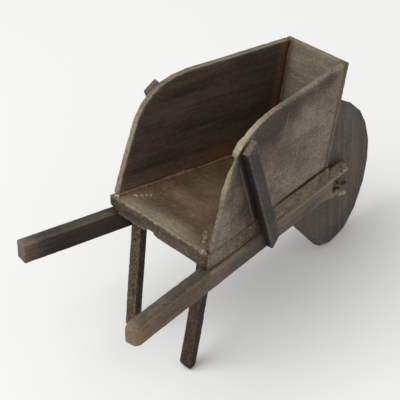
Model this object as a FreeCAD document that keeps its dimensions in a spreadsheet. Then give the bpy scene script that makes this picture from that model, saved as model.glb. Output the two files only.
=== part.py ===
import FreeCAD, Part
import math
import os

import Sketcher
from FreeCAD import Placement, Rotation, Vector

# A small hand-made wooden wheelbarrow: a tray of four boards on two square
# shafts, two legs, two outside stays, and a sawn wooden wheel on a dowel axle.
#
# Every piece is laid out in the tray's own axes: the origin is the middle of the
# floor board's upper rear edge, +X is to the right, +Y runs forward to the wheel
# and +Z is up from the floor.  The finished barrow stands on its two feet and
# its wheel, so ON_THE_GROUND tips the tray forward and lifts it.

doc = FreeCAD.newDocument("wheelbarrow")
sheet = doc.addObject("Spreadsheet::Sheet", "Dims")

# Driving dimensions in millimetres and degrees.
DIMENSIONS = {
    "floor_thickness": 5.2,
    "floor_length": 58.7,
    "floor_rear_half": 20.7,
    "floor_front_half": 12.4,
    "side_thickness": 2.2,
    "side_rear_offset": 20.9,
    "side_height": 33.4,
    "front_thickness": 1.8,
    "front_lean": 9.67,
    "front_bottom_half": 11.6,
    "front_top_half": 11.9,
    "slot_width": 5.0,
    "slot_back": 38.0,
    "slot_top": 19.8,
    "shaft_width": 4.4,
    "shaft_height": 6.0,
    "shaft_rear_offset": 21.9,
    "shaft_toe_in": 9.03,
    "shaft_front_end": 73.8,
    "shaft_right_rear_end": -31.2,
    "shaft_left_rear_end": -29.4,
    "leg_width": 4.4,
    "leg_depth": 2.8,
    "leg_rear_face": 4.6,
    "leg_outer_face": 16.2,
    "leg_rake": 6.3,
    "leg_right_lean": 3.4,
    "leg_left_lean": 1.7,
    "foot_bevel": 0.7,
    "stay_width": 4.5,
    "stay_thickness": 2.3,
    "stay_top_height": 31.4,
    "wheel_thickness": 3.0,
    "wheel_inset": 5.3,
    "axle_radius": 1.2,
    "axle_length": 21.5,
    "axle_inset": 1.8,
    "axle_running_gap": 0.05,
    "axle_tilt": 3.5,
    "axle_forward": 66.8,
    "axle_below_floor": 8.1,
    "bore_depth": 20.0,
    "ground_tilt": 8.8,
    "origin_shift_x": -0.143,
    "origin_shift_y": -27.387,
}

# Side boards, as (forward, up): the rear edge, then the rounded upper corner.  The
# left board, key -1, is set a little further forward than the right one, key 1.
SIDE_REAR_EDGE = {
    1: [(0.6, 0.0), (2.2, 6.0), (4.4, 12.0), (6.5, 17.5), (8.6, 22.5)],
    -1: [(1.3, 0.0), (3.1, 6.0), (5.2, 12.0), (7.1, 17.5), (9.0, 22.5)],
}
SIDE_ROUND = {
    1: [(10.6, 26.2), (13.4, 29.0), (17.0, 31.1), (21.5, 32.5), (27.5, 33.2)],
    -1: [(11.2, 26.2), (14.0, 29.0), (17.4, 31.1), (21.7, 32.5), (27.5, 33.2)],
}

# Stays, as (forward, up): rear and front corners of their top and bottom ends.
STAY_CORNERS = {
    1: [(12.0, 27.2), (26.3, -10.8), (29.9, -7.7), (15.8, 30.2)],
    -1: [(14.0, 28.4), (28.3, -10.8), (31.9, -7.7), (17.8, 31.4)],
}

# Wheel, as (angle up from straight ahead, reach from the axle) of each sawn corner.
WHEEL_CORNERS = [
    (4, 24.5), (22, 23.9), (38, 23.6), (56, 23.4), (72, 23.9), (90, 24.2),
    (110, 23.9), (130, 23.8), (150, 24.0), (170, 23.8), (188, 23.6), (261, 24.9),
    (275, 26.5), (292, 27.4), (310, 26.7), (330, 25.4), (348, 24.8),
]

RIGHT = Vector(1, 0, 0)
FORWARD = Vector(0, 1, 0)
UP = Vector(0, 0, 1)


def dim(alias):
    return DIMENSIONS[alias]


def slope(alias):
    return math.tan(math.radians(dim(alias)))


def store(alias, value):
    """Put one dimension in the next row of the sheet, under its alias."""
    row = len(sheet.getUsedCells()) // 2 + 1
    sheet.set("A%d" % row, alias)
    sheet.set("B%d" % row, "%.4f" % value)
    sheet.setAlias("B%d" % row, alias)


for dimension in DIMENSIONS:
    store(dimension, dim(dimension))


# ---------------------------------------------------------------- directions

TOE = math.radians(dim("shaft_toe_in"))
TILT = math.radians(dim("axle_tilt"))
TIP = math.radians(dim("ground_tilt"))
SIDE_FLARE = (dim("shaft_rear_offset") - dim("side_rear_offset")) / dim("stay_top_height")


def along_shaft(side):
    """Forward direction of a shaft; side is +1 on the right and -1 on the left."""
    return Vector(-side * math.sin(TOE), math.cos(TOE), 0)


def out_of_shaft(side):
    """Sideways direction square to a shaft's outer face."""
    return Vector(side * math.cos(TOE), math.sin(TOE), 0)


def plane_axes(along, across):
    """Rotation that lays a piece's X along one line and its XY plane on both."""
    normal = along.cross(across)
    return Rotation(along, normal.cross(along), normal, "ZXY")


def shaft_face(side, forward, up):
    """Point on the outer face of a shaft, or on the plane that carries on from it."""
    return Vector(side * (dim("shaft_rear_offset") - forward * math.tan(TOE)), forward, up)


def side_face(side, forward, up):
    """Point on the outer face of a side board, which flares a little at the top."""
    offset = dim("side_rear_offset") - forward * math.tan(TOE) + up * SIDE_FLARE
    return Vector(side * offset, forward, up)


# ------------------------------------------------------- axle, wheel, ground

AXLE = Vector(math.cos(TOE) * math.cos(TILT), math.sin(TOE) * math.cos(TILT), math.sin(TILT))
AXLE_RIGHT_END = shaft_face(1, dim("axle_forward"), -dim("axle_below_floor"))
WHEEL_CENTRE = AXLE_RIGHT_END - AXLE * dim("wheel_inset")
WHEEL_ROTATION = plane_axes(along_shaft(1), AXLE.cross(along_shaft(1)))


def wheel_corners():
    return [
        (reach * math.cos(math.radians(angle)), reach * math.sin(math.radians(angle)))
        for angle, reach in WHEEL_CORNERS
    ]


def wheel_middle(forward, up):
    """Sideways position of the wheel's middle plane at a height and distance."""
    middle = WHEEL_CENTRE - AXLE * (dim("wheel_thickness") / 2)
    behind = (forward - middle.y) * AXLE.y + (up - middle.z) * AXLE.z
    return middle.x - behind / AXLE.x


def depth(point):
    """Distance of a tray point below the tray's origin, square to the ground."""
    return point.y * math.sin(TIP) - point.z * math.cos(TIP)


def wheel_rim_points():
    for x, y in wheel_corners():
        near = WHEEL_CENTRE + WHEEL_ROTATION.multVec(Vector(x, y, 0))
        yield near
        yield near - AXLE * dim("wheel_thickness")


GROUND_DEPTH = max(depth(point) for point in wheel_rim_points())
ON_THE_GROUND = Placement(
    Vector(dim("origin_shift_x"), dim("origin_shift_y"), GROUND_DEPTH),
    Rotation(RIGHT, -dim("ground_tilt")),
)


# ----------------------------------------------------------- drawing helpers

def in_plane(local, point):
    """Coordinates of a tray point in a piece's own outline plane."""
    flat = local.inverse().multVec(point)
    return (flat.x, flat.y)


def new_sketch(body, name, offset=Placement()):
    """A sketch on the body's own XY plane, moved from it by offset."""
    sketch = body.newObject("Sketcher::SketchObject", name)
    plane = [item for item in body.Origin.OriginFeatures if item.Role == "XY_Plane"][0]
    sketch.AttachmentSupport = [(plane, "")]
    sketch.MapMode = "FlatFace"
    sketch.AttachmentOffset = offset
    sketch.Visibility = False
    return sketch


def bind(sketch, constraint, expression):
    """Add a dimension to a sketch and drive it from the sheet."""
    index = sketch.addConstraint(constraint)
    sketch.setExpression("Constraints[%d]" % index, expression)


def draw_outline(sketch, name, corners):
    """Closed outline with both coordinates of every corner in the sheet."""
    first = sketch.GeometryCount
    ends = corners[1:] + corners[:1]
    for start, end in zip(corners, ends):
        sketch.addGeometry(Part.LineSegment(Vector(*start), Vector(*end)))
    for i in range(len(corners)):
        following = first + (i + 1) % len(corners)
        sketch.addConstraint(Sketcher.Constraint("Coincident", first + i, 2, following, 1))
    for i, (across, up) in enumerate(corners):
        across_cell = "%s_corner_across_%d" % (name, i + 1)
        up_cell = "%s_corner_up_%d" % (name, i + 1)
        store(across_cell, across)
        store(up_cell, up)
        line = first + i
        bind(sketch, Sketcher.Constraint("DistanceX", -1, 1, line, 1, across), "Dims." + across_cell)
        bind(sketch, Sketcher.Constraint("DistanceY", -1, 1, line, 1, up), "Dims." + up_cell)


def draw_circle(sketch, radius, expression):
    """Circle about the sketch's own origin."""
    circle = sketch.addGeometry(Part.Circle(Vector(0, 0, 0), UP, radius))
    sketch.addConstraint(Sketcher.Constraint("Coincident", circle, 3, -1, 1))
    bind(sketch, Sketcher.Constraint("Radius", circle, radius), expression)


def board(name, local, corners, push, thickness):
    """One flat piece: an outline pushed through its thickness in a tray direction."""
    body = doc.addObject("PartDesign::Body", name)
    body.Label = name
    body.Placement = ON_THE_GROUND.multiply(local)
    sketch = new_sketch(body, name + "_outline")
    draw_outline(sketch, name, corners)
    pad = body.newObject("PartDesign::Pad", name + "_pad")
    pad.Profile = sketch
    pad.UseCustomVector = True
    pad.AlongSketchNormal = False
    pad.Direction = local.Rotation.inverted().multVec(push)
    pad.setExpression("Length", "Dims." + thickness)
    return body


def bore(body, local, name):
    """The axle's running hole, cut through a shaft along the axle's own line."""
    back = local.inverse()
    direction = back.Rotation.multVec(AXLE)
    sketch = new_sketch(body, name + "_circle", Placement(back.multVec(AXLE_RIGHT_END), Rotation(UP, direction)))
    radius = dim("axle_radius") + dim("axle_running_gap")
    draw_circle(sketch, radius, "Dims.axle_radius + Dims.axle_running_gap")
    pocket = body.newObject("PartDesign::Pocket", name)
    pocket.Profile = sketch
    pocket.SideType = "Symmetric"
    pocket.setExpression("Length", "2 * (Dims.axle_length + Dims.bore_depth)")


# -------------------------------------------------------------------- pieces

def make_floor():
    """Floor board, wider at the rear, with a slot from its front edge for the wheel."""
    rear = dim("floor_rear_half")
    front = dim("floor_front_half")
    length = dim("floor_length")
    back = dim("slot_back")
    half = dim("slot_width") / 2
    middle = -dim("floor_thickness") / 2
    slot_front = wheel_middle(length, middle)
    slot_back = wheel_middle(back, middle)
    corners = [
        (-rear, 0.0), (rear, 0.0), (front, length),
        (slot_front + half, length), (slot_back + half, back),
        (slot_back - half, back), (slot_front - half, length), (-front, length),
    ]
    board("floor_board", Placement(), corners, -UP, "floor_thickness")


def make_side(name, side):
    """Side board, standing on the floor with its front edge cut to meet the front board."""
    local = Placement(side_face(side, 0, 0), plane_axes(along_shaft(side), Vector(side * SIDE_FLARE, 0, 1)))
    bottom_front = dim("floor_length") - dim("front_thickness")
    top_front = bottom_front + dim("side_height") * slope("front_lean")
    outline = SIDE_REAR_EDGE[side] + SIDE_ROUND[side] + [(top_front, dim("side_height")), (bottom_front, 0.0)]
    corners = [in_plane(local, side_face(side, forward, up)) for forward, up in outline]
    board(name, local, corners, RIGHT * -side, "side_thickness")


def make_front():
    """Front board, leaning forward across the ends of the side boards."""
    lean = slope("front_lean")
    foot = dim("floor_length") - dim("front_thickness")
    local = Placement(Vector(0, foot, 0), plane_axes(RIGHT, Vector(0, lean, 1)))
    bottom = dim("front_bottom_half")
    top = dim("front_top_half")
    half = dim("slot_width") / 2
    low = wheel_middle(foot, 0)
    high = wheel_middle(foot + dim("slot_top") * lean, dim("slot_top"))
    outline = [
        (-bottom, 0.0), (low - half, 0.0), (high - half, dim("slot_top")),
        (high + half, dim("slot_top")), (low + half, 0.0), (bottom, 0.0),
        (top, dim("side_height")), (-top, dim("side_height")),
    ]
    corners = [in_plane(local, Vector(x, foot + up * lean, up)) for x, up in outline]
    board("front_board", local, corners, FORWARD, "front_thickness")


def make_shaft(name, side, rear_end):
    """Square shaft under the floor: handle at the rear, axle bearing at the front."""
    start = shaft_face(side, rear_end, -dim("floor_thickness"))
    local = Placement(start, plane_axes(-out_of_shaft(side), UP))
    width = dim("shaft_width")
    height = dim("shaft_height")
    corners = [(0.0, 0.0), (width, 0.0), (width, -height), (0.0, -height)]
    store(name + "_length", (dim("shaft_front_end") - rear_end) / math.cos(TOE))
    body = board(name, local, corners, along_shaft(side), name + "_length")
    bore(body, local, name + "_axle_bore")


def foot_of(top):
    """Where a line that rakes back from a point under the floor meets the ground."""
    rake = slope("leg_rake")
    drop = (GROUND_DEPTH - depth(top)) / (math.cos(TIP) - rake * math.sin(TIP))
    return (top.y - rake * drop, top.z - drop)


def make_leg(name, side, lean):
    """Leg beside the shaft, hung from the floor, with a bevelled foot on the ground."""
    top = -dim("floor_thickness")
    rear = dim("leg_rear_face")
    front = rear + dim("leg_depth")
    bevel = dim("foot_bevel")
    rear_y, rear_z = foot_of(Vector(0, rear, top))
    front_y, front_z = foot_of(Vector(0, front, top))
    outline = [
        (rear, top), (rear_y, rear_z + 2 * bevel), (rear_y + bevel, rear_z + bevel * math.tan(TIP)),
        (front_y - bevel, front_z - bevel * math.tan(TIP)), (front_y, front_z + 2 * bevel), (front, top),
    ]
    start = Vector(side * dim("leg_outer_face"), 0, top)
    local = Placement(start, plane_axes(FORWARD, Vector(side * lean, 0, 1)))
    corners = [
        in_plane(local, start + Vector(side * lean * (up - top), forward, up - top))
        for forward, up in outline
    ]
    board(name, local, corners, RIGHT * -side, "leg_width")


def make_stay(name, side):
    """Slanting stay outside a side board, flat against the shaft's outer face."""
    local = Placement(shaft_face(side, 0, 0), plane_axes(along_shaft(side), UP))
    corners = [in_plane(local, shaft_face(side, forward, up)) for forward, up in STAY_CORNERS[side]]
    board(name, local, corners, out_of_shaft(side), "stay_thickness")


def make_wheel():
    """Sawn wooden disc with flats, parallel to the right shaft and bored for the axle."""
    local = Placement(WHEEL_CENTRE, WHEEL_ROTATION)
    body = board("wheel", local, wheel_corners(), -AXLE, "wheel_thickness")
    sketch = body.getObject("wheel_outline")
    draw_circle(sketch, dim("axle_radius"), "Dims.axle_radius")


def make_axle():
    """Dowel axle, sunk in the right shaft's bore and reaching the left shaft's outer face."""
    axle = doc.addObject("Part::Cylinder", "axle")
    axle.Label = "axle"
    axle.setExpression("Radius", "Dims.axle_radius")
    axle.setExpression("Height", "Dims.axle_length")
    local = Placement(AXLE_RIGHT_END - AXLE * dim("axle_inset"), Rotation(UP, -AXLE))
    axle.Placement = ON_THE_GROUND.multiply(local)


make_floor()
make_side("side_right", 1)
make_side("side_left", -1)
make_front()
make_shaft("shaft_right", 1, dim("shaft_right_rear_end"))
make_shaft("shaft_left", -1, dim("shaft_left_rear_end"))
make_leg("leg_right", 1, slope("leg_right_lean"))
make_leg("leg_left", -1, slope("leg_left_lean"))
make_stay("stay_right", 1)
make_stay("stay_left", -1)
make_wheel()
make_axle()
doc.recompute()


# --------------------------------------------------------- check and export

PIECES = [
    item for item in doc.Objects
    if item.TypeId in ("PartDesign::Body", "Part::Cylinder")
]

for item in doc.Objects:
    if "Invalid" in item.State or "Error" in item.State:
        raise RuntimeError("%s did not recompute: %s" % (item.Name, item.State))

os.makedirs("parts", exist_ok=True)
whole = FreeCAD.BoundBox()
for piece in PIECES:
    if piece.Shape.isNull() or not piece.Shape.isValid() or len(piece.Shape.Solids) != 1:
        raise RuntimeError("%s is not one valid solid" % piece.Label)
    piece.Shape.exportStep("parts/%s.step" % piece.Label)
    whole.add(piece.Shape.BoundBox)
    print("%-12s %9.1f mm3" % (piece.Label, piece.Shape.Volume))

print("box", whole)
print("axle", ON_THE_GROUND.multVec(WHEEL_CENTRE), ON_THE_GROUND.Rotation.multVec(AXLE))
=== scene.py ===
import math

import bmesh
import bpy
import numpy as np
from mathutils import Matrix, Vector
from mathutils.bvhtree import BVHTree


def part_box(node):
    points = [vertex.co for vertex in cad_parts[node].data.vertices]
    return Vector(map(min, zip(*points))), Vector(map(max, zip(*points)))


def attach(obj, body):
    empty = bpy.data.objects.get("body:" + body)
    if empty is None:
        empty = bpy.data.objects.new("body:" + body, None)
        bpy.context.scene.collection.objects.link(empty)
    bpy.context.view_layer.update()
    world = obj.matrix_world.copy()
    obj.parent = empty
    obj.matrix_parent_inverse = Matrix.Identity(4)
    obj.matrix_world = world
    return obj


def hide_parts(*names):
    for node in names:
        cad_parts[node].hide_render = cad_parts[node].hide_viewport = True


# A hand-made miniature wheelbarrow of dark-stained thin wood.  Each board is the
# CAD solid remeshed finely and then weathered: sawn, rounded, chipped and cracked.
# Lengths are in millimetres, but in metres for the camera's clipping, the lamp and
# the paper floor.  A board's own X runs along its grain and its own Z comes straight
# out of its broad face.

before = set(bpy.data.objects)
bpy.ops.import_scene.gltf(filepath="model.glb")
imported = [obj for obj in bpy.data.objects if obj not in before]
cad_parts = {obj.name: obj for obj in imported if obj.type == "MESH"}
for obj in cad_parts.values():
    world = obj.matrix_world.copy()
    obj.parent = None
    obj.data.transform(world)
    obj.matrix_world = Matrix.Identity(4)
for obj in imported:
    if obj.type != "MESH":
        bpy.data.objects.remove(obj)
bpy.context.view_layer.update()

MM = 0.001

# How fine each kind of skin is: the size of its small quads.
VOXEL = 0.3
FINE_VOXEL = 0.25
AXLE_VOXEL = 0.15
GLUE_VOXEL = 0.2

# The tray's own axes, as the CAD lays the pieces out: the origin is the middle of
# the floor board's upper rear edge, X to the right, Y forward, Z up.  Where a value
# is kept by side, 1 is the right side and -1 the left.
TRAY_TIP = math.radians(8.8)
TOE = math.radians(9.03)
AXLE_TILT = math.radians(3.5)
SIDE_FLARE = 0.03185
FLOOR_THICKNESS = 5.2
SIDE_THICKNESS = 2.2
SIDE_REAR_OFFSET = 20.9
SHAFT_REAR_OFFSET = 21.9
SHAFT_WIDTH = 4.4
SHAFT_HEIGHT = 6.0
FRONT_FOOT = 56.9
FRONT_LEAN = math.tan(math.radians(9.67))
LEG_OUTER_FACE = 16.2
LEG_REAR_FACE = 4.6
LEG_RAKE = math.tan(math.radians(6.3))
LEG_LEAN = {1: math.tan(math.radians(3.4)), -1: math.tan(math.radians(1.7))}
STAY_TOP = {1: (13.9, 28.7), -1: (15.9, 29.9)}
STAY_BOTTOM = {1: (28.1, -9.25), -1: (30.1, -9.25)}
AXLE_FORWARD = 66.8
AXLE_BELOW_FLOOR = 8.1
WHEEL_INSET = 5.3

AXLE = Vector((
    math.cos(TOE) * math.cos(AXLE_TILT), math.sin(TOE) * math.cos(AXLE_TILT), math.sin(AXLE_TILT)
))


# ----------------------------------------------------------------- placing

def tray_frame():
    """The tray's axes in the row frame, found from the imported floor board."""
    low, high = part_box("floor_board")
    rear = low.y + FLOOR_THICKNESS * MM * math.sin(TRAY_TIP)
    corner = Vector(((low.x + high.x) / 2, rear, high.z))
    return Matrix.Translation(corner) @ Matrix.Rotation(-TRAY_TIP, 4, "X")


TRAY = tray_frame()


def along_shaft(side):
    """The way a shaft points: forward, and in towards the wheel."""
    return Vector((-side * math.sin(TOE), math.cos(TOE), 0))


def shaft_face(side, forward, up):
    """Point on a shaft's outer face; side is +1 on the right and -1 on the left."""
    return Vector((side * (SHAFT_REAR_OFFSET - forward * math.tan(TOE)), forward, up))


def side_face(side, forward, up):
    """Point on a side board's outer face."""
    offset = SIDE_REAR_OFFSET - forward * math.tan(TOE) + up * SIDE_FLARE
    return Vector((side * offset, forward, up))


def axes_at(origin, along, facing):
    """Placement of a board from a tray point, its grain and the way its face looks."""
    x = along.normalized()
    z = (facing - x * facing.dot(x)).normalized()
    y = z.cross(x)
    turn = Matrix((x, y, z)).transposed().to_4x4()
    return TRAY @ Matrix.Translation(origin * MM) @ turn


# ------------------------------------------------------------------- noise

NOISE_LAYERS = 3
LAYER_SEED_STEP = 17
LAYERED_SPREAD = 1.5


def lattice(cells, seed):
    """Repeatable random value from -1 to 1 for each cell; the large numbers mix its bits."""
    mixed = cells[:, 0] * 374761393 + cells[:, 1] * 668265263 + cells[:, 2] * 2147483647
    mixed = (mixed + seed * 1274126177) & 0xFFFFFFFF
    mixed = ((mixed ^ (mixed >> 13)) * 1103515245) & 0xFFFFFFFF
    mixed = ((mixed ^ (mixed >> 16)) * 69069) & 0xFFFFFFFF
    return (mixed ^ (mixed >> 15)) / 0x7FFFFFFF - 1.0


def noise(points, size, seed):
    """Smooth noise whose features are about size long, one size or one per axis."""
    scaled = points / np.array(size, float)
    base = np.floor(scaled).astype(np.int64)
    part = scaled - base
    part = part * part * (3 - 2 * part)
    total = np.zeros(len(points))
    for corner in range(8):
        step = np.array([corner & 1, corner >> 1 & 1, corner >> 2 & 1])
        weight = np.prod(np.where(step == 1, part, 1 - part), axis=1)
        total += weight * lattice(base + step, seed)
    return total


def layered(points, size, seed):
    """Noise with finer, weaker layers on top, still about -1 to 1."""
    size = np.array(size, float)
    total = np.zeros(len(points))
    for layer in range(NOISE_LAYERS):
        total += noise(points, size / 2 ** layer, seed + LAYER_SEED_STEP * layer) / 2 ** layer
    return total / LAYERED_SPREAD


# ------------------------------------------------------------------- marks

def fade(distance, reach):
    """1 at no distance, falling smoothly to 0 some way beyond reach."""
    return np.exp(-(distance / reach) ** 2)


def near_line(points, start, end, width):
    """1 on a line drawn on a face, falling to 0 away from it; all in (x, y)."""
    start, end = np.array(start, float), np.array(end, float)
    run = end - start
    flat = points[:, :2] - start
    share = np.clip(flat @ run / (run @ run), 0, 1)
    away = np.linalg.norm(flat - share[:, None] * run, axis=1)
    return fade(away, width)


def near_lines(points, lines, width):
    """The same for several (start, end) lines together."""
    return sum(near_line(points, start, end, width) for start, end in lines)


def near_spot(points, centre, radius):
    """1 at a point, falling to 0 some way beyond the radius, which may be one per axis."""
    away = (points - np.array(centre, float)) / np.array(radius, float)
    return np.exp(-(away ** 2).sum(axis=1))


def rise(values, low, high):
    """0 below low, 1 above high and a smooth step between; low may be the larger."""
    share = np.clip((values - low) / (high - low), 0, 1)
    return share * share * (3 - 2 * share)


def by_height(up, table):
    """A value for each height, between those that the table gives."""
    return np.interp(up, list(table), list(table.values()))


# ------------------------------------------------------------------ meshes

SAME_POINT = 0.001
FLAT_ANGLE = math.radians(0.5)
SHARP_ANGLE = math.radians(40)
WARP_SIZE = 1.0
TORN_ROUGHNESS = 0.25
TORN_CUTS = 14
BEND_SIZE = 14
EDGE_WEAR_REACH = 0.5
GRAIN_RELIEF = 0.03
END_FUR = 0.09
GRIME_REACH = 1.1


def cad_outline(node, place):
    """A CAD node's solid in a board's own millimetres, with its flat faces whole."""
    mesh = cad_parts[node].data.copy()
    mesh.transform(Matrix.Scale(1 / MM, 4) @ place.inverted())
    solid = bmesh.new()
    solid.from_mesh(mesh)
    bpy.data.meshes.remove(mesh)
    bmesh.ops.remove_doubles(solid, verts=solid.verts, dist=SAME_POINT)
    bmesh.ops.dissolve_limit(solid, angle_limit=FLAT_ANGLE, verts=solid.verts, edges=solid.edges)
    bmesh.ops.recalc_face_normals(solid, faces=solid.faces)
    return solid


def sharp_edges(solid):
    """Both ends of each edge that a finger would feel."""
    return [
        (np.array(edge.verts[0].co), np.array(edge.verts[1].co))
        for edge in solid.edges
        if len(edge.link_faces) == 2 and edge.calc_face_angle() > SHARP_ANGLE
    ]


def edge_distance(points, edges):
    """How far each point is from the nearest of the edges."""
    nearest = np.full(len(points), np.inf)
    for start, end in edges:
        run = end - start
        share = np.clip((points - start) @ run / (run @ run), 0, 1)
        away = np.linalg.norm(points - start - share[:, None] * run, axis=1)
        nearest = np.minimum(nearest, away)
    return nearest


def linked(name, source):
    """A passing object that holds a bmesh, for a modifier to work on or with."""
    mesh = bpy.data.meshes.new(name)
    source.to_mesh(mesh)
    holder = bpy.data.objects.new(name, mesh)
    bpy.context.scene.collection.objects.link(holder)
    return holder


def remeshed(solid, rounding, voxel, cut=(), add=()):
    """The solid as an even skin of small quads: corners rounded, then cut and added to."""
    holder = linked("skin", solid)
    passing = [holder]
    if rounding:
        bevel = holder.modifiers.new("bevel", "BEVEL")
        bevel.width = rounding
        bevel.segments = 3
        bevel.limit_method = "ANGLE"
        bevel.angle_limit = SHARP_ANGLE
    for operation, tools in (("DIFFERENCE", cut), ("UNION", add)):
        for tool in tools:
            passing.append(linked("tool", tool))
            change = holder.modifiers.new(operation, "BOOLEAN")
            change.operation = operation
            change.object = passing[-1]
            tool.free()
    remesh = holder.modifiers.new("remesh", "REMESH")
    remesh.mode = "VOXEL"
    remesh.voxel_size = voxel
    graph = bpy.context.evaluated_depsgraph_get()
    skin = bpy.data.meshes.new_from_object(holder.evaluated_get(graph))
    for item in passing:
        mesh = item.data
        bpy.data.objects.remove(item)
        bpy.data.meshes.remove(mesh)
    return skin


def warped(shape, rough, seed):
    """The bmesh with its points pushed about by noise, each way by about rough at most."""
    points = np.array([vert.co[:] for vert in shape.verts])
    push = np.stack([layered(points, WARP_SIZE, seed + axis) for axis in range(3)], axis=1)
    for vert, co in zip(shape.verts, points + push * rough):
        vert.co = co
    return shape


def lump(centre, radii, seed, rough, lean=0.0):
    """A rough closed lump; lean turns its length, X, towards Y, in degrees."""
    shape = bmesh.new()
    bmesh.ops.create_icosphere(shape, subdivisions=4, radius=1)
    place = Matrix.Translation(centre) @ Matrix.Rotation(math.radians(lean), 4, "Z")
    bmesh.ops.transform(shape, matrix=place @ Matrix.Diagonal((*radii, 1)), verts=shape.verts)
    return warped(shape, rough, seed)


def rough_block(low, high, seed):
    """A box with torn faces, for breaking wood away."""
    shape = bmesh.new()
    bmesh.ops.create_cube(shape, size=1)
    bmesh.ops.subdivide_edges(shape, edges=shape.edges, cuts=TORN_CUTS, use_grid_fill=True)
    low, high = Vector(low), Vector(high)
    place = Matrix.Translation((low + high) / 2) @ Matrix.Diagonal((*(high - low), 1))
    bmesh.ops.transform(shape, matrix=place, verts=shape.verts)
    return warped(shape, TORN_ROUGHNESS, seed)


def mesh_arrays(mesh):
    """The points of a mesh and the way each one faces."""
    count = len(mesh.vertices)
    points = np.empty(count * 3)
    normals = np.empty(count * 3)
    mesh.vertices.foreach_get("co", points)
    mesh.vertices.foreach_get("normal", normals)
    return points.reshape(-1, 3), normals.reshape(-1, 3)


def weathered(points, normals, edges, seed, wear, wander):
    """Hand-cut wood: wavy outlines, raised grain, worn edges and furry sawn ends.

    Returns the moved points, and how close each one is to an edge, from 0 to 1.
    """
    bend = np.stack([noise(points, BEND_SIZE, seed + axis) for axis in range(3)], axis=1)
    moved = points + bend * wander
    near_edge = fade(edge_distance(points, edges), EDGE_WEAR_REACH)
    worn = near_edge * (0.3 + 0.7 * rise(layered(points, 1.6, seed + 5), -0.2, 0.8))
    ends = np.abs(normals[:, 0]) ** 2
    fibre = layered(points, (5.0, 0.6, 0.6), seed + 7)
    fur = layered(points, (0.7, 0.5, 0.5), seed + 9)
    height = GRAIN_RELIEF * fibre * (1 - ends) + END_FUR * fur * ends - wear * worn
    return moved + normals * height[:, None], near_edge


def neighbours(node):
    """Search tree of every CAD solid but one, in the row frame."""
    corners, faces = [], []
    for name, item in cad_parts.items():
        if name != node:
            start = len(corners)
            corners += [vert.co.copy() for vert in item.data.vertices]
            faces += [[start + index for index in face.vertices] for face in item.data.polygons]
    return BVHTree.FromPolygons(corners, faces)


def grime(world, node):
    """1 where a surface point touches another piece, falling to 0 away from it."""
    tree = neighbours(node)
    limit = 3 * GRIME_REACH * MM
    found = [tree.find_nearest(Vector(point), limit)[3] for point in world]
    away = np.array([limit if gap is None else gap for gap in found]) / MM
    return fade(away, GRIME_REACH)


def finish_piece(name, mesh, points, marks, place, body, node, material):
    """Writes the shaped points and marks to the mesh and puts the piece in place.

    A clean mark keeps the grime of a joint off; no point goes below the ground.
    """
    turn, origin = np.array(place.to_3x3()), np.array(place.translation)
    world = points @ turn.T * MM + origin
    world[:, 2] = np.maximum(world[:, 2], 0)
    mesh.vertices.foreach_set("co", world.ravel())
    own = mesh.attributes.new("board_mm", "FLOAT_VECTOR", "POINT")
    own.data.foreach_set("vector", points.astype(np.float32).ravel())
    if node:
        marks["joint"] = grime(world, node) * (1 - marks.pop("clean", 0))
    for mark, values in marks.items():
        layer = mesh.attributes.new(mark, "FLOAT", "POINT")
        layer.data.foreach_set("value", np.clip(values, 0, 1).astype(np.float32))
    mesh.update()
    for face in mesh.polygons:
        face.use_smooth = True
    mesh.name = name
    mesh.materials.clear()
    mesh.materials.append(material)
    piece = bpy.data.objects.new(name, mesh)
    bpy.context.scene.collection.objects.link(piece)
    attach(piece, body)
    if node:
        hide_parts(node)


def no_marks(points, normals):
    """The detail of a piece that has none."""
    return points, {}


def wooden(name, place, body, look, seed, detail=no_marks, rounding=0.25, voxel=VOXEL,
           cut=(), add=(), wear=0.15, wander=0.06):
    """One wooden piece from the CAD node of its name; detail shapes it further and marks it."""
    solid = cad_outline(name, place)
    edges = sharp_edges(solid)
    mesh = remeshed(solid, rounding, voxel, cut, add)
    solid.free()
    points, normals = mesh_arrays(mesh)
    shaped, marks = detail(points, normals)
    moved, near_edge = weathered(points, normals, edges, seed, wear, wander)
    marks.setdefault("edge", near_edge)
    material = stained(name, seed, **look)
    finish_piece(name, mesh, shaped + moved - points, marks, place, body, name, material)


# --------------------------------------------------------------- materials

# Places of a mix node's colour sockets, whose names its other sockets share.
MIX_FIRST = 6
MIX_SECOND = 7
MIX_RESULT = 2

# How far apart two seeds' patterns are taken from the noise, per axis.
PATTERN_STEPS = (7.13, 3.71, 5.39)


def linear_light(value):
    """A 0 to 255 screen value as linear light."""
    if value > 10:
        return ((value / 255 + 0.055) / 1.055) ** 2.4
    return value / 255 / 12.92


def srgb(red, green, blue):
    """A colour named by its 0 to 255 screen values, as linear light."""
    return (linear_light(red), linear_light(green), linear_light(blue), 1)


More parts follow.
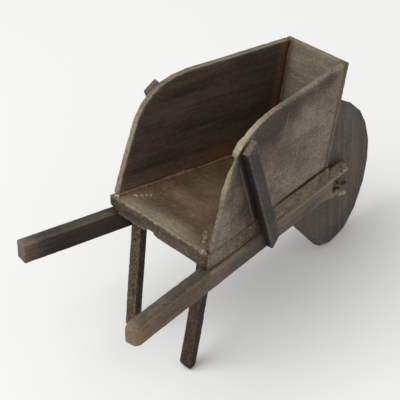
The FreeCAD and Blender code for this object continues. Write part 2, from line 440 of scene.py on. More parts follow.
class Look:
    """A material's node tree, built one node at a time."""

    def __init__(self, name):
        self.material = bpy.data.materials.new(name)
        self.material.use_nodes = True
        self.nodes = self.material.node_tree.nodes
        self.links = self.material.node_tree.links
        self.shader = self.nodes["Principled BSDF"]
        own = self.nodes.new("ShaderNodeAttribute")
        own.attribute_name = "board_mm"
        self.coordinates = own.outputs["Vector"]

    def put(self, socket, value):
        """Links the value to the socket, or sets it there when it is a constant."""
        if isinstance(value, bpy.types.NodeSocket):
            self.links.new(value, socket)
        else:
            socket.default_value = value

    def spread(self, scale, seed):
        """Board coordinates in pattern units: scale is features per millimetre, per axis."""
        mapping = self.nodes.new("ShaderNodeMapping")
        mapping.inputs["Scale"].default_value = scale
        mapping.inputs["Location"].default_value = [seed * step for step in PATTERN_STEPS]
        self.links.new(self.coordinates, mapping.inputs["Vector"])
        return mapping.outputs["Vector"]

    def noise(self, scale, seed, detail, roughness=0.55, distortion=0.0):
        made = self.nodes.new("ShaderNodeTexNoise")
        self.links.new(self.spread(scale, seed), made.inputs["Vector"])
        made.inputs["Scale"].default_value = 1.0
        made.inputs["Detail"].default_value = detail
        made.inputs["Roughness"].default_value = roughness
        made.inputs["Distortion"].default_value = distortion
        return made.outputs["Fac"]

    def mark(self, name):
        """The strength of a mark that was written to the mesh, 0 where it has none."""
        made = self.nodes.new("ShaderNodeAttribute")
        made.attribute_name = name
        return made.outputs["Fac"]

    def ramp(self, value, low, high, start=0.0, end=1.0):
        """A smooth step from start, below low, to end, above high."""
        made = self.nodes.new("ShaderNodeMapRange")
        made.interpolation_type = "SMOOTHSTEP"
        for socket, number in zip(made.inputs[:5], (value, low, high, start, end)):
            self.put(socket, number)
        return made.outputs["Result"]

    def combine(self, operation, first, second):
        made = self.nodes.new("ShaderNodeMath")
        made.operation = operation
        self.put(made.inputs[0], first)
        self.put(made.inputs[1], second)
        return made.outputs["Value"]

    def plus(self, first, second):
        return self.combine("ADD", first, second)

    def times(self, first, second):
        return self.combine("MULTIPLY", first, second)

    def blend(self, share, first, second, kind="MIX"):
        made = self.nodes.new("ShaderNodeMix")
        made.data_type = "RGBA"
        made.blend_type = kind
        self.put(made.inputs["Factor"], share)
        self.put(made.inputs[MIX_FIRST], first)
        self.put(made.inputs[MIX_SECOND], second)
        return made.outputs[MIX_RESULT]

    def tinted(self, colour, tint):
        return self.blend(1.0, colour, tint, "MULTIPLY")

    def bump(self, height, depth_mm, below=None):
        """Fine relief; below is the relief that this one lies on."""
        made = self.nodes.new("ShaderNodeBump")
        made.inputs["Strength"].default_value = 1.0
        made.inputs["Distance"].default_value = depth_mm * MM
        self.put(made.inputs["Height"], height)
        if below is not None:
            self.links.new(below, made.inputs["Normal"])
        return made.outputs["Normal"]


# Colours that a mark covers the wood with; the raw-wood colour also paints highlights.
RAW_WOOD_AND_HIGHLIGHT = srgb(168, 156, 130)
AMBER = srgb(122, 80, 44)

# Tints that a mark, or the dust, multiplies the wood's colour by; the stain and soot tints also paint
# shade and shadows.
STAIN_AND_SHADE = (0.37, 0.33, 0.30, 1)
SOOT_AND_SHADE = (0.13, 0.12, 0.11, 1)
GRIME = (0.62, 0.57, 0.52, 1)
DULL = (0.74, 0.73, 0.72, 1)
BRIGHT = (1.25, 1.25, 1.25, 1)

WOOD_ROUGHNESS = 0.72
ROUGHNESS_SPREAD = 0.12
WOOD_SHEEN = 0.3
FIBRE_DEPTH = 0.14
GRIT_DEPTH = 0.12


def stained(name, seed, base, dark, pale, streaks, mottle=0.3, specks=0.3, edge=0.5,
            grain=(0.4, 2.8, 2.8), spots=0.0, evenness=0.0):
    """Stained wood: dark and light along the grain, specks, worn pale edges and marks."""
    look = Look("wood_" + name)
    fibre = look.noise(grain, seed, detail=6, roughness=0.75)
    streak = look.noise((0.03, 0.5, 0.5), seed + 1, detail=4, distortion=0.5)
    blotch = look.noise((0.10, 0.15, 0.15), seed + 2, detail=4)
    grit = look.noise((1.0, 1.5, 1.5), seed + 3, detail=5, roughness=0.75)
    speck = look.noise((2.4, 2.9, 2.9), seed + 4, detail=2)
    tone = look.times(look.ramp(streak, 0.32, 0.68), streaks)
    tone = look.plus(tone, look.times(look.ramp(blotch, 0.35, 0.65), 1 - streaks))
    colour = look.blend(look.plus(tone, evenness), dark, base)
    colour = look.blend(look.times(look.ramp(fibre, 0.55, 0.38), 0.75), colour, dark)
    colour = look.blend(look.times(look.ramp(grit, 0.48, 0.70), mottle), colour, pale)
    rare = 0.68 - 0.1 * specks
    colour = look.blend(look.times(look.ramp(speck, rare, rare + 0.08), specks), colour, pale)
    if spots:
        spot = look.noise((1.1, 1.7, 1.7), seed + 5, detail=4, roughness=0.75)
        colour = look.blend(look.times(look.ramp(spot, 0.50, 0.60), spots), colour, pale)
    dust = look.ramp(look.noise((2.2, 3.0, 3.0), seed + 6, detail=3, roughness=0.7), 0.38, 0.62)
    colour = look.blend(dust, look.tinted(colour, DULL), look.tinted(colour, BRIGHT))
    broken = look.ramp(grit, 0.35, 0.6)
    worn = look.times(look.times(look.mark("edge"), broken), edge)
    colour = look.blend(worn, colour, pale)
    ragged = look.ramp(grit, 0.3, 0.62, 0.35, 1.0)
    # The stain and soot marks also hold painted shade and shadows, and the raw mark holds painted
    # highlights.
    for mark, tint in (("stain_and_shade", STAIN_AND_SHADE), ("joint", GRIME), ("soot_and_shade", SOOT_AND_SHADE)):
        colour = look.blend(look.mark(mark), colour, look.tinted(colour, tint))
    for mark, cover in (("raw_and_highlight", RAW_WOOD_AND_HIGHLIGHT), ("amber", AMBER)):
        colour = look.blend(look.times(look.mark(mark), ragged), colour, cover)
    smooth = WOOD_ROUGHNESS - ROUGHNESS_SPREAD
    rough = WOOD_ROUGHNESS + ROUGHNESS_SPREAD
    look.put(look.shader.inputs["Base Color"], colour)
    look.put(look.shader.inputs["Specular IOR Level"], WOOD_SHEEN)
    look.put(look.shader.inputs["Roughness"], look.ramp(fibre, 0.3, 0.7, smooth, rough))
    relief = look.bump(fibre, FIBRE_DEPTH)
    look.put(look.shader.inputs["Normal"], look.bump(grit, GRIT_DEPTH, relief))
    return look.material


GLUE_DUST = srgb(60, 48, 36)
GLUE_DEPTH = 0.1


def glue_look(name, thin, thick):
    """Old glue: cloudy between its thin and its thick colour, with dust stuck to it."""
    look = Look(name)
    cloud = look.noise((0.5, 0.5, 0.5), 60, detail=4)
    dust = look.noise((2.2, 2.2, 2.2), 61, detail=3)
    colour = look.blend(look.ramp(cloud, 0.35, 0.65), thin, thick)
    colour = look.blend(look.ramp(dust, 0.58, 0.75), colour, GLUE_DUST)
    look.put(look.shader.inputs["Base Color"], colour)
    look.put(look.shader.inputs["Roughness"], look.ramp(dust, 0.35, 0.65, 0.22, 0.6))
    look.put(look.shader.inputs["Normal"], look.bump(cloud, GLUE_DEPTH))
    return look.material


# Each kind of wood: its usual colour, the dark between the fibres and the pale of worn
# places.
PANEL = dict(base=srgb(126, 115, 100), dark=srgb(70, 63, 55), pale=srgb(166, 154, 134))
FRONT = dict(base=srgb(134, 121, 104), dark=srgb(92, 82, 69), pale=srgb(168, 156, 132))
FLOOR = dict(base=srgb(124, 106, 84), dark=srgb(76, 64, 52), pale=srgb(156, 144, 116))
SHAFT = dict(base=srgb(108, 98, 85), dark=srgb(60, 53, 48), pale=srgb(144, 131, 106))
LEG = dict(base=srgb(48, 40, 32), dark=srgb(24, 20, 16), pale=srgb(142, 118, 82))
STAY = dict(base=srgb(76, 69, 64), dark=srgb(44, 39, 36), pale=srgb(120, 109, 97))
WHEEL = dict(base=srgb(94, 88, 79), dark=srgb(66, 60, 54), pale=srgb(122, 112, 96))


# ------------------------------------------------------------------ pieces

# The tray's own axes, for the floor board and for glue, whose dabs are tray points.
ON_TRAY = axes_at(Vector((0, 0, 0)), Vector((1, 0, 0)), Vector((0, 0, 1)))


def sawn_rim(points, normals, seed):
    """How much a point is on a board's sawn rim, and how ragged the cut is there."""
    rim = rise(np.abs(normals[:, 2]), 0.8, 0.3)
    return rim, layered(points, (1.3, 1.3, 0.5), seed)


def floor_detail(points, normals):
    """Chips under the rear edge, torn sawn ends, a crack along the top, dark stains and painted shade."""
    x, y, z = points.T
    shaped = points.copy()
    rear = rise(y, 1.6, 0.2)
    chips = rise(layered(points * (1, 0, 0), 3.2, 21), -0.3, 0.6) * rise(x, 8, -8)
    shaped[:, 2] += rear * rise(z, -3.2, -5) * 0.9 * chips
    shaped[:, 1] += rear * rise(z, -2.6, -5) * 0.6 * chips
    end = np.abs(normals[:, 0]) ** 2
    torn = layered(points, (1.0, 1.3, 0.7), 23)
    rough = end * (0.25 + 0.75 * rise(y, 27, 33))
    shaped[:, 0] -= np.sign(x) * rough * 0.3 * (0.4 + torn)

    top = rise(normals[:, 2], 0.5, 0.9)
    back = rise(normals[:, 1], -0.4, -0.9)
    cloud = layered(points, (9, 7, 9), 25)
    gaps = rise(layered(points * (1, 0, 0), 2, 26), -0.6, 0.1)
    crack = near_line(points, (-17, 1.1), (12, 0.9), 0.25) * gaps
    fray = layered(points, (1.2, 0.5, 0.5), 27)
    crumb = layered(points, (0.6, 0.7, 0.45), 28)
    smear = layered(points, (6, 1.6, 6), 29)

    pale_corner = near_spot(points, (20.0, 2.5, -2.2), (2.5, 2.6, 2.0))
    pale_end = 0.4 * rise(crumb, 0.1, 0.6) + 0.4 * pale_corner
    pale_top = rise(y, 6.5, 1.5) * (0.15 + 0.3 * rise(x, 14, 2) * rise(x, -17, -11))
    pale_lower = 0.6 * rise(z, -4.5, -5.1) * rise(x, 2, -6)
    pale_upper = 0.7 * rise(z, -0.9, -0.3) * rise(fray, 0.15, 0.5)
    pale_back = 0.25 * rise(crumb, 0.25, 0.6) + pale_lower + pale_upper
    dark_top = (0.3 + 0.3 * rise(y, 8, 44) + 0.25 * cloud) * rise(y, 1, 9)
    dark_smear = 0.4 * rise(smear, 0, 0.6) * rise(y, 26, 20)
    # The ends darken where the stays shade them: painted shade, with a stain and a smear.
    end_stain_and_stay_shade = 0.1 + rise(y, 12, 24) * rise(y, 33, 29) + dark_smear
    black_back = 0.7 * rise(x, -18.8, -20.4) + 0.5 * rise(crumb, -0.1, -0.6)
    left_seam = near_line(points, (-18, 1), (-13, 34), 2.2)
    return shaped, {
        "raw_and_highlight": end * pale_end + top * pale_top + back * pale_back,
        "stain_and_shade": top * dark_top + 0.75 * back + end * end_stain_and_stay_shade,
        "clean": 0.8 * end,
        "soot_and_shade": 0.55 * rough * rise(crumb, -0.15, -0.6) + 0.6 * top * crack + back * black_back,
        "amber": top * (0.35 * left_seam + 0.12 * rise(y, 5, 12)),
    }


def floor_board():
    look = dict(FLOOR, streaks=0.3, mottle=0.3, specks=0.3, edge=0.6)
    wooden("floor_board", ON_TRAY, "barrow", look, 1, floor_detail, wear=0.2)


def side_board(name, side, seed, look, detail):
    """A side board; its Z points right, so out of the right one and into the left one."""
    facing = Vector((math.cos(TOE), side * math.sin(TOE), -side * SIDE_FLARE))
    place = axes_at(side_face(side, 0, 0), along_shaft(side), facing)
    wooden(name, place, "barrow", look, seed, detail, rounding=0.3, wear=0.18)


# The right side board by height: how far forward its rear edge is, and the share of its
# thickness that its rim keeps, least in the notch and most above it.
NEAR_REAR_EDGE = {0.0: 0.6, 6.0: 2.2, 12.0: 4.4, 17.5: 6.5, 22.5: 8.6, 26.2: 10.6, 29.0: 13.4}
NEAR_RIM_SHARE = {
    0: 0.8, 7: 0.55, 12: 0.6, 17: 0.95, 22: 0.8,
    24.8: 0.4, 25.8: 1.0, 27: 1.25, 31: 1.25, 34: 1,
}
NOTCH_HEIGHT = 25.1

# Lines on its outer face, as (along it, up).
STAY_REAR_EDGE = ((12.2, 27.5), (26.6, -11.0))
STAY_GLINT = ((12.2, 22.5), (21.8, -2.0))
STAY_FRONT_EDGE = (((24.6, 11.0), (30.6, -1.0)), ((19.6, 22.5), (22.5, 19.0)))
SQUARE_TO_STAY = (0.937, 0.35)
SCRATCHES = (
    ((44.8, 24.4), (41.8, 16.3)),
    ((34.3, 30.3), (33.0, 21.8)),
    ((48.6, 31.8), (48.0, 29.5)),
    ((46.0, 26.0), (44.9, 19.5)),
    ((9.8, 8.5), (8.4, 5.0)),
)
AMBER_STREAKS = (((6, 2.2), (19, 4.6)), ((9, 3.6), (17, 6.6)), ((5, 0.7), (14, 1.6)))


def near_side(points, normals):
    """The right side board: a thinned rim with a notch, scratches, a painted shadow beside its stay, a
    painted glint and painted shade in the notch.
    """
    along, up, out = points.T
    shaped = points.copy()
    outer = rise(out, -0.6, -0.2)
    rim, cut = sawn_rim(points, normals, 31)
    rear = rise(normals[:, 0], -0.3, -0.8)
    inset = along - by_height(up, NEAR_REAR_EDGE)
    shaped[:, 2] *= 1 - (1 - by_height(up, NEAR_RIM_SHARE)) * rise(inset, 3.0, 0.4)
    shaped[:, 0] += rear * rise(up, 15, 8) * 0.5 * rise(cut, -0.2, 0.7)
    shaped[:, 0] += rise(inset, 1.6, 0.2) * fade(up - NOTCH_HEIGHT, 0.7) * 0.9
    crumbled = 0.2 + 0.4 * rise(cut, -0.4, 0.6)
    shaped[:, 1] += rise(up, 0.9, 0.3) * rise(along, 31, 35) * crumbled

    crest = rise(up, 20, 25)
    curve = near_line(points, (11.5, 27.5), (19, 32), 4.2) * rise(up, 25.4, 27.6)
    patch = near_spot(points[:, :2], (6.6, 20.0), (2.6, 3.6))
    smear = layered(points, (1.6, 7, 5), 33)
    hatch = layered(points, (0.5, 0.5, 2.0), 34)
    # A painted glint: a thin pale line inside the stay's shadow.
    glint = near_line(points, *STAY_GLINT, 0.28)
    # Painted shadow in the gap behind the stay.
    gap = near_line(points, *STAY_REAR_EDGE, 2.6)
    stay_along, stay_up = STAY_REAR_EDGE[0]
    ahead = (along - stay_along) * SQUARE_TO_STAY[0] + (up - stay_up) * SQUARE_TO_STAY[1]

    pale_rim = curve * (0.65 + 0.3 * rise(hatch, -0.3, 0.3)) + 0.8 * patch
    pale_rear = 0.25 * rear * rise(cut, -0.2, 0.6)
    pale_crest = crest * rise(along, 22, 28) * (0.1 + 0.25 * rise(hatch, 0.1, 0.5))
    beside = near_lines(points, STAY_FRONT_EDGE, 0.3) * rise(hatch, -0.1, 0.4)
    pale_face = 0.4 * near_lines(points, SCRATCHES, 0.16) + 0.22 * glint + 0.5 * beside
    streaks = 0.3 * near_lines(points, AMBER_STREAKS, 0.45)
    warm_face = streaks + 0.12 * rise(smear, 0, 0.6) * rise(along, 24, 14)
    warm_rear = 0.3 * rear * rise(up, 12, 2) * rise(cut, -0.5, 0.5)
    grey_middle = near_spot(points[:, :2], (26.5, 26), (8.5, 8))
    grey_top = 0.9 * near_line(points, (21, 30.5), (56, 31.5), 3.4)
    # The stay's shadow, painted on the outer face.
    stay_shade = fade(ahead, 6.5) * rise(ahead, 1.5, 0.5)
    dark_smear = 0.4 * rise(smear, 0.1, -0.6) * rise(along, 26, 18)
    dark_crest = 0.25 * crest * rise(along, 20, 28)
    black_rear = 0.6 * rear * rise(up, 14, 5) * rise(cut, 0.2, -0.4)
    # Painted shade in the notch of the rim and under the step above it.
    notch_shade = 0.8 * fade(up - NOTCH_HEIGHT + 0.3, 0.8) * rise(along, 15, 11)
    over_notch_shade = 0.3 * fade(up - NOTCH_HEIGHT - 1.5, 0.9) * rise(along, 15, 12)
    return shaped, {
        "raw_and_highlight": rim * (pale_rim + pale_rear + pale_crest) + outer * pale_face,
        "clean": 0.8 * outer * rise(along, 30, 20),
        "amber": outer * warm_face + 0.4 * patch * rim + warm_rear,
        "stain_and_shade": outer * (grey_middle + grey_top + stay_shade + dark_smear) + rim * dark_crest,
        "soot_and_shade": black_rear + 0.85 * outer * gap * (1 - glint) + rim * (notch_shade + over_notch_shade),
    }


def far_side(points, normals):
    """The left side board: a dark inner face, stained and painted with shade, amber by the front seam and
    the floor.
    """
    along, up, inward = points.T
    rim, cut = sawn_rim(points, normals, 41)
    inner = rise(inward, SIDE_THICKNESS - 0.6, SIDE_THICKNESS - 0.25) * (1 - rim)
    seam_top = near_line(points, (61.2, 33), (57.8, 13), 1.3)
    seam_foot = 0.5 * near_line(points, (57.6, 14), (57.2, 3), 1.0)
    glow = seam_top + seam_foot
    low = rise(up, 7, 0.5)
    bruise = near_line(points, (16, 25.5), (33, 28), 1.6) + near_line(points, (8, 7), (24, 8.5), 2.2)
    rub = layered(points, (8, 1.2, 1.2), 43)
    spot = near_spot(points[:, :2], (37, 3.0), (5.0, 3.6))
    warm = 0.5 * glow + 0.3 * low * rise(along, 5, 14) + 0.12 * rise(rub, 0, 0.6) + 0.65 * spot
    dark_front = 0.25 * rise(along, 40, 54) * (1 - np.clip(glow, 0, 1))
    return points, {
        "raw_and_highlight": rim * (0.35 + 0.3 * rise(cut, -0.3, 0.5)) * rise(up, 34, 20),
        "amber": inner * warm + 0.25 * rim * rise(up, 12, 4),
        # The inner face is darkened by stain and by painted shade.
        "stain_and_shade": inner * (0.93 - 0.38 * low) + 0.2 * rim * rise(cut, 0, -0.6),
        "soot_and_shade": inner * (0.3 * bruise + dark_front),
    }


def front_detail(points, normals):
    """A pale sawn rim, a dark line with some amber in the left corner, and painted shade low on the inner
    face.
    """
    up, inward = points[:, 1], points[:, 2]
    rim, cut = sawn_rim(points, normals, 51)
    inner = rise(inward, -0.5, -0.2)
    end = np.abs(normals[:, 0]) ** 2
    corner = near_line(points, (-10.2, 0), (-10.2, 34), 2.0)
    return points, {
        "clean": 0.7 * end,
        "raw_and_highlight": 0.12 * rim * rise(cut, -0.2, 0.7) + 0.12 * inner * rise(up, 22, 31),
        "edge": 0.3 * rim * rise(cut, -0.2, 0.4),
        # The inner face darker towards the bottom is painted shade.
        "stain_and_shade": 0.3 * end + inner * (0.5 * rise(up, 20, 6) + 0.5 * corner),
        "amber": 0.3 * inner * near_line(points, (-10.4, 4), (-10.4, 33), 1.0),
    }


def front_board():
    place = axes_at(Vector((0, FRONT_FOOT, 0)), Vector((1, 0, 0)), Vector((0, -1, FRONT_LEAN)))
    look = dict(FRONT, streaks=0.5, mottle=0.3, specks=0.15)
    wooden("front_board", place, "barrow", look, 4, front_detail)


def shaft(name, side, seed, detail, cut=(), add=()):
    """A shaft; its Z points right, like a side board's."""
    facing = Vector((math.cos(TOE), side * math.sin(TOE), 0))
    place = axes_at(shaft_face(side, 0, -FLOOR_THICKNESS), along_shaft(side), facing)
    look = dict(SHAFT, streaks=0.5, mottle=0.3, specks=0.2, edge=0.3)
    wooden(name, place, "barrow", look, seed, detail, rounding=0.35,
           voxel=FINE_VOXEL, cut=cut, add=add, wear=0.14)


def rounded_corner(inward, down, radius):
    """Distances into a shaft from its outer and upper face, moved to round their edge."""
    from_outer = radius - inward
    from_top = radius - down
    inside = (from_outer > 0) & (from_top > 0)
    longest = np.maximum(from_outer, from_top)
    share = np.where(inside, longest / np.maximum(np.hypot(from_outer, from_top), 1e-6), 1)
    return radius - from_outer * share, radius - from_top * share


# The right shaft's front end is torn off at a slant, and worn less than its handle.
TORN_END = 70.6
TORN_SLANT = 0.95
TORN_FROM = 60
TORN_ROUNDING = 0.3


def near_shaft(points, normals):
    """The right shaft: a worn, blunt handle behind and a torn, broken end in front, with painted shade
    and highlights.
    """
    along, up, out = points.T
    worn = 0.6 + 1.7 * rise(along, 0, -26)
    inward, down = rounded_corner(-out, -up, np.where(along < TORN_FROM, worn, TORN_ROUNDING))
    shaped = np.stack([along, -down, -inward], axis=1)
    blunt = rise(along, -29.6, -31.6)
    shaped[:, 1] += blunt * (-SHAFT_HEIGHT / 2 - up) * 0.16
    shaped[:, 2] += blunt * (-SHAFT_WIDTH / 2 - out) * 0.2
    shaped[:, 0] = np.minimum(shaped[:, 0], TORN_END - TORN_SLANT * out)

    top = rise(normals[:, 1], 0.3, 0.8)
    below = rise(normals[:, 1], -0.5, -0.9)
    outer = rise(normals[:, 2], 0.4, 0.8)
    torn = layered(points, (1.1, 0.9, 0.9), 71)
    across = rise(out, -0.6, -1.1) * rise(out, -4.2, -3.4)
    under_top = (1 - top * rise(up, -1.6, -1.1)) * rise(up, -7.4, -6.6)
    # Painted shade on the floor of the broken end's recess.
    broken = rise(along, 61.6, 62.6) * across * under_top
    # A painted highlight along the top outer edge, where it runs under the floor board's ends.
    ridge = fade(up + out + 0.2, 0.7)
    rear_bed = rise(along, -1, 1) * rise(along, 17, 14)
    front_bed = rise(along, 29, 34) * rise(along, 63, 60)
    ridge_highlight = ridge * (rear_bed + front_bed)
    top_lip = top * rise(out, -4.2, -3.0) * rise(up, -1.6, -1.0)
    outer_lip = outer * rise(up, -1.4, -0.6)
    lip = rise(along, 58, 65) * (top_lip + rise(up, -6.4, -7.0) + outer_lip)
    lip = np.clip(lip, 0, 1) * rise(torn, -0.7, 0.2)
    pale_handle = 0.35 * rise(along, -27.5, -31)
    dark_spot = near_spot(points[:, :2], (-8, -1.2), (5, 1.3))
    # Painted shade on the outer face where the stay crosses it.
    stay_shade_on_shaft = 0.7 * outer * rise(along, 13, 25) * rise(along, 33, 29)
    return shaped, {
        "raw_and_highlight": 0.65 * lip + 0.22 * outer * rise(along, 46, 58) + pale_handle + 0.45 * ridge_highlight,
        "amber": 0.35 * rise(along, -24, -31) + 0.2 * ridge_highlight + 0.2 * outer * rise(along, 16, 4),
        "clean": 0.9 * rise(out, -2.4, -1.2),
        "soot_and_shade": 0.9 * broken * (0.6 + 0.4 * rise(torn, 0.5, -0.2)),
        "stain_and_shade": 0.6 * broken + 0.5 * below + 0.35 * dark_spot + stay_shade_on_shaft,
    }


def broken_away():
    """What is torn out of the right shaft's front end."""
    return [
        rough_block((62.2, -5.9, -1.9), (76, -0.8, 1.5), 801),
        rough_block((67.6, -7.4, -3.2), (68.3, -0.9, 1), 802),
    ]


def splinters():
    """What hangs on to that end."""
    return [
        lump((63.2, -6.2, -0.5), (2.3, 0.9, 0.9), 811, 0.3, 4),
        lump((60.4, -5.8, -0.3), (2.6, 0.6, 0.6), 812, 0.3, -3),
        lump((66.0, -7.2, -0.6), (2.1, 0.9, 1.3), 813, 0.3, -28),
        lump((68.9, -8.5, -0.7), (1.7, 0.8, 1.2), 814, 0.3, -12),
    ]


def far_shaft(points, normals):
    """The left shaft, whose inner face and top are darkened up to the handle's end."""
    along = points[:, 0]
    inner = rise(normals[:, 2], 0.4, 0.8)
    top = rise(normals[:, 1], 0.4, 0.8)
    end = rise(along, -21, -28)
    return points, {
        "raw_and_highlight": 0.16 * rise(along, -27.5, -29.6),
        "amber": 0.25 * rise(along, -25, -29.5),
        "stain_and_shade": 0.95 * inner * (1 - 0.7 * end) + 0.6 * top * (1 - end),
        "soot_and_shade": 0.45 * inner * (1 - end) * rise(along, -28, -18),
    }


def leg(name, side, seed, look, flank_darkness):
    """A leg that leans in and back to a blunt foot; the last argument is how much darker its flanks are
    made.
    """
    start = Vector((side * LEG_OUTER_FACE, LEG_REAR_FACE, -FLOOR_THICKNESS))
    down = Vector((-side * LEG_LEAN[side], -LEG_RAKE, -1))
    place = axes_at(start, down, Vector((0, -1, 0)))

    def detail(points, normals):
        along, across = points[:, 0], points[:, 1]
        length = along.max()
        blunt = rise(along, length - 2.4, length)
        middle = points.mean(axis=0)
        shaped = points.copy()
        shaped[:, 1:] += (blunt ** 2)[:, None] * 0.22 * (middle[1:] - points[:, 1:])
        flank = rise(np.abs(normals[:, 1]), 0.4, 0.8)
        foot = rise(along, length - 4.5, length - 1) * rise(across, middle[1], middle[1] + 1.5)
        warm = rise(layered(points, (2.5, 1.2, 1.2), seed + 80), 0.1, 0.7)
        return shaped, {"soot_and_shade": flank_darkness * flank + 0.6 * foot, "amber": 0.3 * (1 - flank) * warm}

    wooden(name, place, "barrow", look, seed, detail, rounding=0.35, voxel=FINE_VOXEL)


def stay_detail(points, normals):
    """Narrow faces painted black as shade, and a pale, amber top end."""
    off_face = rise(np.abs(normals[:, 2]), 0.6, 0.3)
    off_end = rise(np.abs(normals[:, 0]), 0.6, 0.3)
    top_end = rise(normals[:, 0], -0.5, -0.9)
    # The narrow faces' black is painted shade.
    return points, {"soot_and_shade": 0.75 * off_face * off_end, "raw_and_highlight": 0.22 * top_end, "amber": 0.25 * top_end}


def stay(name, side, seed):
    top = shaft_face(side, *STAY_TOP[side])
    bottom = shaft_face(side, *STAY_BOTTOM[side])
    place = axes_at(top, bottom - top, Vector((side * math.cos(TOE), math.sin(TOE), 0)))
    look = dict(STAY, streaks=0.4, mottle=0.4, specks=0.3, edge=0.5, grain=(0.5, 1.9, 1.9))
    wooden(name, place, "barrow", look, seed, stay_detail, rounding=0.2,
           voxel=FINE_VOXEL)


def wheel_detail(points, normals):
    """A dark rim with pale saw marks, and a darker band near it on the flat faces."""
    rim = rise(np.abs(normals[:, 2]), 0.8, 0.3)
    cut = layered(points, (0.8, 0.8, 1.5), 91)
    away = np.hypot(points[:, 0], points[:, 1])
    return points, {
        "stain_and_shade": 0.35 * rim + 0.3 * rise(away, 19, 24),
        "amber": 0.12 * (1 - rim) * rise(layered(points, 9, 93), 0.0, 0.7),
        "raw_and_highlight": 0.25 * rim * rise(cut, 0.1, 0.8),
    }


def wheel():
    centre = shaft_face(1, AXLE_FORWARD, -AXLE_BELOW_FLOOR) - AXLE * WHEEL_INSET
    place = axes_at(centre, AXLE.cross(along_shaft(1)), AXLE)
    look = dict(WHEEL, streaks=0.7, mottle=0.3, specks=0.15, edge=0.15, grain=(0.25, 1.9, 1.9))
    wooden("wheel", place, "wheel_set", look, 11, wheel_detail, rounding=0.35)


def axle():
    place = axes_at(shaft_face(1, AXLE_FORWARD, -AXLE_BELOW_FLOOR), AXLE, AXLE.orthogonal())
    look = dict(SHAFT, streaks=0.5)
    wooden("axle", place, "wheel_set", look, 12, rounding=0.2, voxel=AXLE_VOXEL,
           wear=0.1, wander=0)


# -------------------------------------------------------------------- glue

DAB_ROUGHNESS = 0.35
BEAD_STEP = 0.55
BEAD_SWELL = 0.45
BEAD_SWELL_SIZE = 4.0


def glue(name, dabs, material, seed):
    """Squeezed-out glue: overlapping dabs of (tray point, radius), melted together."""
    shape = bmesh.new()
    for number, (centre, radius) in enumerate(dabs):
        dab = lump(centre, (radius, radius, radius), seed + number, DAB_ROUGHNESS * radius)
        mesh = bpy.data.meshes.new("dab")
        dab.to_mesh(mesh)
        dab.free()
        shape.from_mesh(mesh)
        bpy.data.meshes.remove(mesh)
    mesh = remeshed(shape, 0, GLUE_VOXEL)
    shape.free()
    points, _ = mesh_arrays(mesh)
    finish_piece(name, mesh, points, {}, ON_TRAY, "barrow", None, material)


def bead(start, end, radius, seed):
    """Dabs along a straight seam, thicker in some places than others."""
    length = (end - start).length
    count = round(length / BEAD_STEP)
    shares = np.arange(count + 1) / count
    swell = layered(np.outer(shares * length, (1, 0, 0)), BEAD_SWELL_SIZE, seed)
    return [
        (start.lerp(end, share), radius * (1 + BEAD_SWELL * swell[number]))
        for number, share in enumerate(shares)
    ]


def seam_point(side, forward, up=0.0):
    """Where a side board's inner face meets the floor, or the same place higher up."""
    return side_face(side, forward, up) - Vector((side * SIDE_THICKNESS, 0, 0))


def corner_bead(side, top, seed):
    """The thin bead where the front board meets a side board, up to the height top."""
    foot = seam_point(side, FRONT_FOOT, 0.5)
    return bead(foot, seam_point(side, FRONT_FOOT + top * FRONT_LEAN, top), 0.32, seed)


REAR_CORNER_DABS = (
    ((18.0, 1.2, 3.2), 0.8),
    ((18.3, 1.3, 4.5), 0.7),
    ((18.0, 1.7, 5.8), 0.75),
    ((17.2, 1.9, 5.2), 0.5),
    ((17.0, 1.7, 4.2), 0.55),
)
REAR_FOOT_DABS = (
    ((18.4, 0.3, 0.2), 0.9),
    ((19.0, 0.1, 0.7), 0.7),
    ((17.6, 0.2, 0.1), 0.6),
    ((19.6, 0.1, 0.1), 0.5),
)
LEFT_CORNER_DABS = (
    ((-18.2, 1.2, 0.1), 0.5),
    ((-17.6, 0.8, 0.1), 0.4),
    ((-15.3, 0.5, 0.0), 0.35),
    ((-18.6, 0.7, 0.3), 0.4),
)
TRAIL_DABS = (
    ((-15.4, 4.6, 0.1), 0.5),
    ((-14.9, 5.2, 0.1), 0.4),
    ((-14.4, 5.3, 0.1), 0.3),
    ((-13.9, 6.3, 0.1), 0.35),
    ((-13.5, 6.6, 0.1), 0.28),
    ((-13.2, 7.6, 0.1), 0.35),
    ((-12.7, 7.6, 0.1), 0.3),
    ((-12.2, 8.6, 0.1), 0.42),
)


def all_glue():
    tan = glue_look("old_glue", srgb(74, 60, 43), srgb(122, 100, 70))
    seam = glue_look("seam_glue", srgb(82, 63, 44), srgb(126, 98, 66))
    clear = glue_look("clear_glue", srgb(110, 98, 80), srgb(176, 164, 142))
    glue("glue_seam_left", bead(seam_point(-1, 2.2), seam_point(-1, 55), 0.6, 101), seam, 200)
    glue("glue_seam_right", bead(seam_point(1, 1.5), seam_point(1, 55), 0.5, 102), tan, 300)
    glue("glue_corner_left", corner_bead(-1, 31, 103), tan, 400)
    glue("glue_corner_right", corner_bead(1, 30, 104), tan, 500)
    glue("glue_rear_corner", REAR_CORNER_DABS, tan, 600)
    glue("glue_rear_foot", REAR_FOOT_DABS, clear, 650)
    glue("glue_left_corner", LEFT_CORNER_DABS, clear, 680)
    glue("glue_trail", TRAIL_DABS, clear, 700)


# ------------------------------------------------------- camera and studio

CAMERA_AZIMUTH = math.radians(50.66)
CAMERA_ELEVATION = math.radians(39.19)
CAMERA_ROLL = math.radians(-6.92)
CAMERA_TARGET = Vector((-5.77, -6.31, 37.57))
CAMERA_DISTANCE = 374.34
FOCAL_LENGTH = 114.29
SENSOR_WIDTH = 36

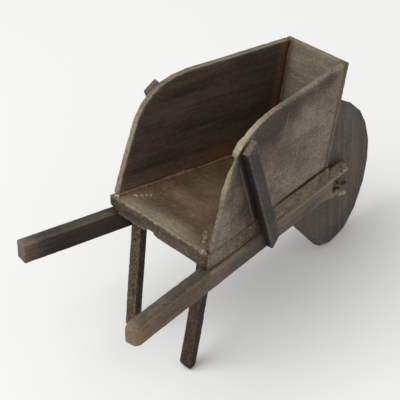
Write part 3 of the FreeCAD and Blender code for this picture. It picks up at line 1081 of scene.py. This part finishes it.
SKY_STRENGTH = 0.75
LAMP_PLACE = Vector((-0.15, -0.35, 0.7))
LAMP_AIM = Vector((0, 0, 0.03))
LAMP_SIZE = 0.6
LAMP_POWER = 3.0
PAPER_REACH = 2
PAPER_COLOUR = (0.85, 0.85, 0.84, 1)


def camera():
    back = Vector((
        math.sin(CAMERA_AZIMUTH) * math.cos(CAMERA_ELEVATION),
        -math.cos(CAMERA_AZIMUTH) * math.cos(CAMERA_ELEVATION),
        math.sin(CAMERA_ELEVATION),
    ))
    level = Vector((math.cos(CAMERA_AZIMUTH), math.sin(CAMERA_AZIMUTH), 0))
    turn = Matrix((level, back.cross(level), back)).transposed().to_4x4()
    spot = Matrix.Translation(CAMERA_TARGET * MM + back * CAMERA_DISTANCE * MM)
    lens = bpy.data.cameras.new("camera")
    lens.sensor_width = SENSOR_WIDTH
    lens.lens = FOCAL_LENGTH
    lens.clip_start = 0.01
    lens.clip_end = 10
    holder = bpy.data.objects.new("camera", lens)
    bpy.context.scene.collection.objects.link(holder)
    holder.matrix_world = spot @ turn @ Matrix.Rotation(CAMERA_ROLL, 4, "Z")
    bpy.context.scene.camera = holder


def soft_lamp():
    """A square area light that faces the barrow."""
    data = bpy.data.lights.new("key", "AREA")
    data.size = LAMP_SIZE
    data.energy = LAMP_POWER
    lamp = bpy.data.objects.new("key", data)
    bpy.context.scene.collection.objects.link(lamp)
    lamp.location = LAMP_PLACE
    lamp.rotation_euler = (LAMP_AIM - LAMP_PLACE).to_track_quat("-Z", "Y").to_euler()


def white_sky():
    scene = bpy.context.scene
    scene.view_settings.view_transform = "Standard"
    world = bpy.data.worlds.new("studio")
    world.use_nodes = True
    scene.world = world
    sky = world.node_tree.nodes["Background"]
    sky.inputs["Color"].default_value = (1, 1, 1, 1)
    sky.inputs["Strength"].default_value = SKY_STRENGTH


def paper_floor():
    far = PAPER_REACH
    mesh = bpy.data.meshes.new("floor")
    mesh.from_pydata([(-far, -far, 0), (far, -far, 0), (far, far, 0), (-far, far, 0)], [], [(0, 1, 2, 3)])
    look = Look("paper")
    mesh.materials.append(look.material)
    look.put(look.shader.inputs["Base Color"], PAPER_COLOUR)
    look.put(look.shader.inputs["Roughness"], 0.9)
    ground = bpy.data.objects.new("floor", mesh)
    bpy.context.scene.collection.objects.link(ground)


# -------------------------------------------------------- the whole barrow

NEAR_PANEL = dict(
    PANEL, streaks=0.25, mottle=0.5, specks=0.5, edge=0.6, grain=(0.55, 1.7, 1.7), evenness=0.15,
)
FAR_PANEL = dict(PANEL, streaks=0.6, mottle=0.3, specks=0.15, edge=0.6, evenness=0.15)
NEAR_LEG = dict(
    LEG, base=srgb(42, 35, 28), streaks=0.5, mottle=0.25, specks=0.2, edge=0.2, spots=0.06,
)
FAR_LEG = dict(LEG, streaks=0.4, mottle=0.4, specks=0.9, edge=0.3, spots=0.55)

camera()
white_sky()
soft_lamp()
paper_floor()
floor_board()
side_board("side_right", 1, 2, NEAR_PANEL, near_side)
side_board("side_left", -1, 3, FAR_PANEL, far_side)
front_board()
shaft("shaft_right", 1, 5, near_shaft, broken_away(), splinters())
shaft("shaft_left", -1, 6, far_shaft)
leg("leg_right", 1, 7, NEAR_LEG, 0.25)
leg("leg_left", -1, 8, FAR_LEG, 0.8)
stay("stay_right", 1, 9)
stay("stay_left", -1, 10)
wheel()
axle()
all_glue()
